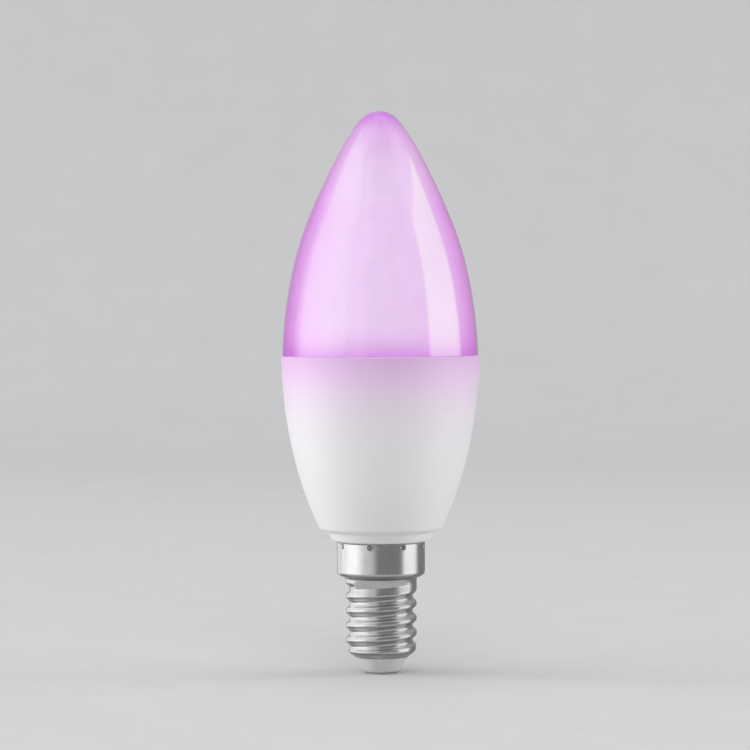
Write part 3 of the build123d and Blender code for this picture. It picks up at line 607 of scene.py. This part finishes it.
def phosphor(name, colour):
    g = Graph(name)
    grains = g.voronoi(9000)
    tone = g.ramp(grains, [(0.0, shade(colour, 1.15)), (0.6, shade(colour, 0.82))])
    g.principled(Base_Color=tone, Roughness=0.35, Subsurface_Weight=0.2, Subsurface_Radius=(0.0004, 0.0003, 0.0001), Subsurface_Scale=1.0,
                 Emission_Color=tone, Emission_Strength=0.25, Coat_Weight=0.6, Coat_Roughness=0.12, Normal=g.bump(grains, 0.2, 0.00002))
    return g.mat


def die(name, colour):
    g = Graph(name)
    pads = g.voronoi(5200, distance="CHEBYCHEV")
    tone = g.ramp(pads, [(0.0, (0.85, 0.70, 0.35)), (0.18, (0.80, 0.66, 0.32)), (0.24, colour), (1.0, shade(colour, 0.7))])
    g.principled(Base_Color=tone, Roughness=0.18, Emission_Color=colour, Emission_Strength=0.6, Normal=g.bump(pads, 0.2, 0.00001))
    return g.mat


def ferrite(name):
    g = Graph(name)
    grains = g.voronoi(3600)
    pits = g.noise(1500, 5, 0.7)
    tone = g.ramp(g.maths("ADD", g.maths("MULTIPLY", grains, 0.5), g.maths("MULTIPLY", pits, 0.5)), [(0.2, (0.045, 0.045, 0.05)), (0.6, (0.11, 0.11, 0.115))])
    g.principled(Base_Color=tone, Roughness=g.span(pits, 0.3, 0.7, 0.42, 0.62), Normal=g.bump(pits, 0.5, 0.00003))
    return g.mat


def taped(name, colour):
    g = Graph(name)
    wraps = g.wave(420, "Z", 0.6)
    soft = g.noise(500, 3)
    tone = g.ramp(wraps, [(0.0, shade(colour, 0.72)), (0.12, colour), (0.9, shade(colour, 1.12)), (1.0, shade(colour, 0.8))])
    g.principled(Base_Color=tone, Roughness=0.22, Coat_Weight=0.5, Coat_Roughness=0.1, Normal=g.bump(g.maths("ADD", wraps, g.maths("MULTIPLY", soft, 0.4)), 0.5, 0.00004))
    return g.mat


def wound(name, colour):
    g = Graph(name)
    turns = g.wave(785, "Z", 0.35)
    layer = g.noise(900, 3)
    # painted shade and painted highlight: each turn of wire is painted dark where it meets the next and bright across
    # its crown
    tone = g.ramp(turns, [(0.0, shade(colour, 0.35)), (0.3, shade(colour, 0.85)), (0.75, shade(colour, 1.25)), (1.0, colour)])
    g.principled(Base_Color=tone, Metallic=0.85, Roughness=0.26, Coat_Weight=0.7, Coat_Roughness=0.08,
                 Normal=g.bump(g.maths("ADD", turns, g.maths("MULTIPLY", layer, 0.2)), 0.8, 0.00006))
    return g.mat


def sleeved(name, colour, stripe, split):
    """Capacitor sleeve: dark film with a lighter minus band down one side."""
    g = Graph(name)
    x = g.axis("X")
    band = g.ramp(g.span(x, -0.012, 0.004, 0, 1), [(0.0, stripe), (split, stripe), (split + 0.005, colour), (1.0, colour)], "CONSTANT")
    film = g.noise(700, 3)
    tone = g.blend(0.35, band, g.ramp(film, [(0.3, shade(colour, 0.7)), (0.7, shade(colour, 1.6))]))
    g.principled(Base_Color=tone, Roughness=g.span(film, 0.3, 0.7, 0.18, 0.30), Coat_Weight=0.4, Coat_Roughness=0.08, Normal=g.bump(film, 0.3, 0.00003))
    return g.mat


def mask_white(name):
    g = Graph(name)
    speck, broad = g.noise(2200, 3), g.noise(120, 3)
    ring = g.voronoi(150, "DISTANCE_TO_EDGE")
    tone = g.blend(g.span(ring, 0.02, 0.05, 0.35, 0.0), g.ramp(broad, [(0.3, (0.88, 0.88, 0.87)), (0.7, (0.93, 0.93, 0.92))]), (0.78, 0.79, 0.78))
    g.principled(Base_Color=tone, Roughness=g.span(speck, 0.3, 0.7, 0.25, 0.38), Normal=g.bump(g.maths("ADD", speck, g.span(ring, 0.02, 0.05, 0, 1)), 0.3, 0.00002))
    return g.mat


def solder(name):
    g = Graph(name)
    flow, grain = g.noise(900, 3), g.noise(4200, 3, 0.6)
    tone = g.ramp(flow, [(0.3, (0.60, 0.61, 0.63)), (0.7, (0.78, 0.79, 0.81))])
    g.principled(Base_Color=tone, Metallic=1.0, Roughness=g.span(grain, 0.3, 0.7, 0.16, 0.34), Normal=g.bump(g.maths("ADD", flow, g.maths("MULTIPLY", grain, 0.3)), 0.4, 0.00004))
    return g.mat


def clear_resin(name):
    g = Graph(name)
    swirl = g.noise(600, 2)
    g.principled(Base_Color=(0.97, 0.97, 0.95), Roughness=g.span(swirl, 0.3, 0.7, 0.02, 0.08), IOR=1.45, Transmission_Weight=1.0, Normal=g.bump(swirl, 0.15, 0.00002))
    return g.mat


def chip(name):
    g = Graph(name)
    speck, broad = g.noise(4200, 4, 0.6), g.noise(700, 2)
    tone = g.ramp(g.maths("ADD", g.maths("MULTIPLY", speck, 0.6), g.maths("MULTIPLY", broad, 0.4)), [(0.3, (0.022, 0.022, 0.025)), (0.7, (0.055, 0.055, 0.06))])
    g.principled(Base_Color=tone, Roughness=g.span(speck, 0.3, 0.7, 0.48, 0.66), Normal=g.bump(speck, 0.45, 0.00003))
    return g.mat


tinned = metal("tinned_wire", (0.70, 0.69, 0.67), 0.25, (1, 1, 1), 2600)
gold = metal("gold_flash", (0.86, 0.66, 0.30), 0.22, (3, 3, 0.3), 2200)
aluminium_drawn = metal("drawn_aluminium", (0.72, 0.73, 0.74), 0.34, (1, 1, 0.12), 1300, 0.00002)
aluminium_rolled = metal("rolled_aluminium", (0.66, 0.67, 0.68), 0.36, (0.1, 1, 1), 1600, 0.00002)
white_package = plastic("led_package_plastic", (0.86, 0.85, 0.82), 0.42, 1500)
black_chip = chip("moulding_compound")
black_ferrite = ferrite("ferrite")
joint = solder("solder")
inner = {
    "diffuser_adhesive_ring": plastic("silicone_bead", (0.84, 0.84, 0.83), 0.38, 500, 0.00005),
    "heat_sink_cup": aluminium_drawn,
    "thermal_compound_ring": plastic("thermal_paste", (0.74, 0.76, 0.78), 0.55, 700, 0.00006),
    "led_board": aluminium_rolled,
    "led_board_solder_mask": mask_white("white_mask"),
    "warm_white_leds": white_package, "cool_white_leds": white_package, "rgb_led_packages": white_package,
    "warm_white_phosphor": phosphor("warm_phosphor", (0.95, 0.60, 0.16)),
    "cool_white_phosphor": phosphor("cool_phosphor", (0.92, 0.86, 0.26)),
    "red_led_dies": die("red_die", (0.75, 0.08, 0.05)),
    "green_led_dies": die("green_die", (0.10, 0.60, 0.18)),
    "blue_led_dies": die("blue_die", (0.08, 0.18, 0.80)),
    "rgb_led_resin": clear_resin("clear_resin"),
    "led_board_socket": plastic("socket_nylon", (0.80, 0.79, 0.73), 0.46),
    "pin_header_strip": plastic("header_plastic", (0.03, 0.03, 0.033), 0.5, contrast=0.3),
    "header_pins": gold,
    "driver_board": circuit("driver_board", (0.012, 0.16, 0.055), (0.07, 0.34, 0.12)),
    "input_capacitor": sleeved("input_sleeve", (0.025, 0.03, 0.05), (0.55, 0.56, 0.58), 0.34),
    "output_capacitor": sleeved("output_sleeve", (0.02, 0.06, 0.05), (0.60, 0.60, 0.58), 0.24),
    "input_capacitor_leads": tinned, "output_capacitor_leads": tinned, "transformer_pins": tinned, "filter_choke_leads": tinned,
    "varistor_leads": tinned, "live_lead": tinned, "resistor_board_lead": tinned,
    "transformer_core": black_ferrite, "filter_choke_core": black_ferrite,
    "transformer_bobbin": plastic("phenolic", (0.07, 0.06, 0.055), 0.48, contrast=0.25),
    "transformer_winding": taped("yellow_tape", (0.84, 0.56, 0.06)),
    "filter_choke_winding": wound("enamelled_copper", (0.66, 0.28, 0.12)),
    "varistor": plastic("blue_epoxy", (0.03, 0.11, 0.42), 0.30, 260, 0.00010, 0.16),
    "fusible_resistor": plastic("resistor_lacquer", (0.30, 0.50, 0.44), 0.32, 420, 0.00006, 0.14),
    "resistor_heat_shrink_sleeve": plastic("heat_shrink", (0.80, 0.78, 0.72), 0.42, 360, 0.00008),
    "neutral_wire": plastic("wire_insulation", (0.05, 0.11, 0.36), 0.38, 800),
    "bridge_rectifier": black_chip, "driver_controller_ic": black_chip, "led_colour_driver_ic": black_chip,
    "power_diodes": black_chip, "radio_chip": black_chip,
    "chip_resistors": plastic("resistor_glaze", (0.04, 0.04, 0.045), 0.30, 1500, contrast=0.3),
    "chip_capacitors": plastic("capacitor_ceramic", (0.48, 0.34, 0.21), 0.40, 1500, contrast=0.15),
    "radio_passives": plastic("small_passives", (0.44, 0.33, 0.22), 0.40, 2500, contrast=0.2),
    "solder_joints": joint, "radio_module_solder": joint,
    "radio_module_board": circuit("radio_board", (0.012, 0.045, 0.18), (0.05, 0.13, 0.36)),
    "radio_crystal": metal("crystal_lid", (0.76, 0.74, 0.70), 0.24, (6, 1, 1), 1500),
    "printed_antenna": metal("antenna_copper", (0.80, 0.58, 0.28), 0.30, (1, 1, 1), 3000),
}
for name, material in inner.items():
    ob = nodes[name]
    if not ob.material_slots:
        ob.data.materials.append(material)
    for s in ob.material_slots:
        s.material = material

# =====================================================================  stage: pale seamless sweep

def sweep_stage():
    pts = [(-2.2, 0.0), (-1.0, 0.0), (-0.4, 0.0), (0.0, 0.0), (0.20, 0.0), (0.45, 0.0)]
    c, r = (0.70, 0.35), 0.35
    pts += [(c[0] + r * math.sin(a), c[1] - r * math.cos(a)) for a in np.linspace(0, math.pi / 2, 24)]
    pts += [(1.05, 0.7), (1.05, 1.8)]
    xs = np.linspace(-1.6, 1.6, 9)
    verts = [(x, y, z) for y, z in pts for x in xs]
    n = len(xs)
    faces = [(i * n + j, i * n + j + 1, (i + 1) * n + j + 1, (i + 1) * n + j) for i in range(len(pts) - 1) for j in range(n - 1)]
    mesh = bpy.data.meshes.new("studio_sweep")
    mesh.from_pydata(verts, [], faces)
    mesh.polygons.foreach_set("use_smooth", [True] * len(mesh.polygons))
    ob = bpy.data.objects.new("studio_sweep", mesh)
    bpy.context.scene.collection.objects.link(ob)
    return ob


stage = sweep_stage()
stage.visible_glossy = False
g = Graph("sweep_paper")
paper = g.noise(60, 4, 0.6)
g.principled(Base_Color=g.ramp(paper, [(0.3, (0.60, 0.60, 0.61)), (0.7, (0.62, 0.62, 0.63))]), Roughness=0.85, Specular_IOR_Level=0.2)
stage.data.materials.append(g.mat)

# =====================================================================  studio light, as one soft surround

world = bpy.data.worlds.new("studio")
bpy.context.scene.world = world
world.use_nodes = True
nt = world.node_tree
nt.nodes.clear()


def wnode(kind, **settings):
    n = nt.nodes.new(kind)
    for key, value in settings.items():
        setattr(n, key, value)
    return n


def wput(socket, value):
    if isinstance(value, bpy.types.NodeSocket):
        nt.links.new(value, socket)
    else:
        socket.default_value = value


def wmath(operation, a, b=0.0, clamp=False):
    n = wnode("ShaderNodeMath", operation=operation, use_clamp=clamp)
    wput(n.inputs[0], a)
    wput(n.inputs[1], b)
    return n.outputs[0]


def wspan(value, a, b, c, d):
    n = wnode("ShaderNodeMapRange", interpolation_type="SMOOTHSTEP")
    wput(n.inputs["Value"], value)
    for key, x in (("From Min", a), ("From Max", b), ("To Min", c), ("To Max", d)):
        n.inputs[key].default_value = x
    return n.outputs["Result"]


direction = wnode("ShaderNodeTexCoord").outputs["Generated"]
split = wnode("ShaderNodeSeparateXYZ")
wput(split.inputs[0], direction)
dx, dy, dz = split.outputs
# azimuth in degrees from straight in front of the lamp (-Y), positive to the right; elevation in degrees
azimuth = wmath("MULTIPLY", wmath("ARCTAN2", dx, wmath("MULTIPLY", dy, -1.0)), 180 / math.pi)
elevation = wmath("MULTIPLY", wmath("ARCSINE", dz), 180 / math.pi)


def window(value, a, b, soft_a, soft_b):
    """1 between a and b, with soft edges."""
    return wmath("MULTIPLY", wspan(value, a - soft_a, a + soft_a, 0, 1), wspan(value, b - soft_b, b + soft_b, 1, 0))


overhead = wspan(elevation, 55, 82, 0.0, 0.85)
underfoot = wmath("MULTIPLY", wmath("SUBTRACT", wspan(elevation, -24, -12, 0.38, 0.0), wspan(elevation, -64, -36, 0.42, 0.0)), window(azimuth, -112, 106, 18, 18))
dome = wmath("MULTIPLY", wspan(elevation, -5, 70, 0.0, 0.45), wmath("SUBTRACT", 1.0, window(azimuth, -16, 50, 14, 6)))
back = wmath("MULTIPLY", wmath("ADD", wspan(azimuth, 148, 165, 0, 0.3), wspan(azimuth, -165, -152, 1, 0)), 0.18)
base = wmath("ADD", wmath("ADD", overhead, underfoot), wmath("ADD", wmath("ADD", dome, 0.285), back))
level = window(elevation, -19, 12, 4, 12)
above = window(elevation, -19, 76, 4, 10)
left = wmath("MULTIPLY", window(azimuth, -108, -54, 16, 16), wmath("ADD", wmath("MULTIPLY", above, 0.50), wmath("MULTIPLY", level, 0.42)))
left_wide = wmath("MULTIPLY", window(azimuth, -122, -14, 14, 16), wmath("ADD", wmath("MULTIPLY", above, 0.78), wmath("MULTIPLY", level, 0.14)))
right = wmath("MULTIPLY", window(azimuth, 59, 108, 7.0, 10.0), wmath("ADD", wmath("MULTIPLY", above, 0.95), wmath("MULTIPLY", level, 0.56)))
total = wmath("MAXIMUM", wmath("MAXIMUM", base, wmath("ADD", left, left_wide)), right)
background = wnode("ShaderNodeBackground")
wput(background.inputs["Strength"], total)
background.inputs["Color"].default_value = (1, 1, 1, 1)
wout = wnode("ShaderNodeOutputWorld")
nt.links.new(background.outputs[0], wout.inputs["Surface"])



def soft_side(name, azimuth_deg, elevation_deg, radiance, size=0.7, distance=1.3):
    """A large soft panel that fills the matt surfaces from one side and isn't seen as a reflection."""
    data = bpy.data.lights.new(name, "AREA")
    data.shape, data.size = "DISK", size
    data.energy = radiance * math.pi * math.pi * (size / 2) ** 2
    ob = bpy.data.objects.new(name, data)
    scene_collection.objects.link(ob)
    a, e = math.radians(azimuth_deg), math.radians(elevation_deg)
    where = Vector((math.sin(a) * math.cos(e), -math.cos(a) * math.cos(e), math.sin(e))) * distance + Vector((0, 0, 0.05))
    ob.matrix_world = Matrix.Translation(where) @ (Vector((0, 0, 0.05)) - where).to_track_quat("-Z", "Y").to_matrix().to_4x4()
    ob.visible_glossy = False
    return ob


scene_collection = bpy.context.scene.collection
soft_side("soft_left", -102, 8, 5.55)
soft_side("soft_right", 100, 8, 4.8)
soft_side("soft_front", 3, 46, 1.95, 0.9, 1.3)


def strip(name, azimuth_deg, z0, z1, width, radiance, distance, only, colour=(0.62, 1.0, 0.48)):
    """An upright strip box that shows as a reflection, lighting only one piece."""
    data = bpy.data.lights.new(name, "AREA")
    data.shape, data.size, data.size_y = "RECTANGLE", width, z1 - z0
    data.energy = radiance * math.pi * width * (z1 - z0)
    data.color = colour
    ob = bpy.data.objects.new(name, data)
    scene_collection.objects.link(ob)
    a = math.radians(azimuth_deg)
    where = Vector((math.sin(a) * distance, -math.cos(a) * distance, (z0 + z1) / 2))
    ob.matrix_world = Matrix.Translation(where) @ Vector((-where.x, -where.y, 0)).to_track_quat("-Z", "Y").to_matrix().to_4x4()
    group = bpy.data.collections.new(name + "_receivers")
    group.objects.link(only)
    ob.light_linking.receiver_collection = group
    return ob


strip("strip_right", 84, -0.1, 0.72, 0.66, 1.52, 0.75, shell, (0.24, 1.0, 0.02))
for i, (width, low_z, top) in enumerate(((0.16, 0.20, 0.45), (0.32, 0.14, 0.6), (0.52, 0.08, 0.75), (0.76, 0.0, 0.9), (1.00, -0.1, 1.05))):
    strip(f"wash_left_{i + 1}", -75, low_z, top, width, 0.55, 0.75, shell, (0.12, 1.0, 0.0))
strip("cap_back_left", -134, -0.22, 1.2, 0.60, 0.85, 0.75, cap, (1, 1, 1))

# =====================================================================  camera

DISTANCE, EYE, AIM, SIDE = 618 * MM, 76.5 * MM, 57.5 * MM, -1.0 * MM
cam_data = bpy.data.cameras.new("camera")
cam_data.lens, cam_data.sensor_width = 154.0, 36.0
cam_data.clip_start, cam_data.clip_end = 0.05, 20.0
cam = bpy.data.objects.new("camera", cam_data)
bpy.context.scene.collection.objects.link(cam)
eye, target = Vector((SIDE, -DISTANCE, EYE)), Vector((SIDE, 0, AIM))
look = (target - eye).to_track_quat("-Z", "Y").to_matrix().to_4x4()
cam.matrix_world = Matrix.Translation(eye) @ look @ Matrix.Rotation(math.radians(-0.25), 4, "Z")
scene = bpy.context.scene
scene.camera = cam
scene.view_settings.view_transform = "Standard"
scene.view_settings.look = "None"
scene.cycles.use_denoising = True
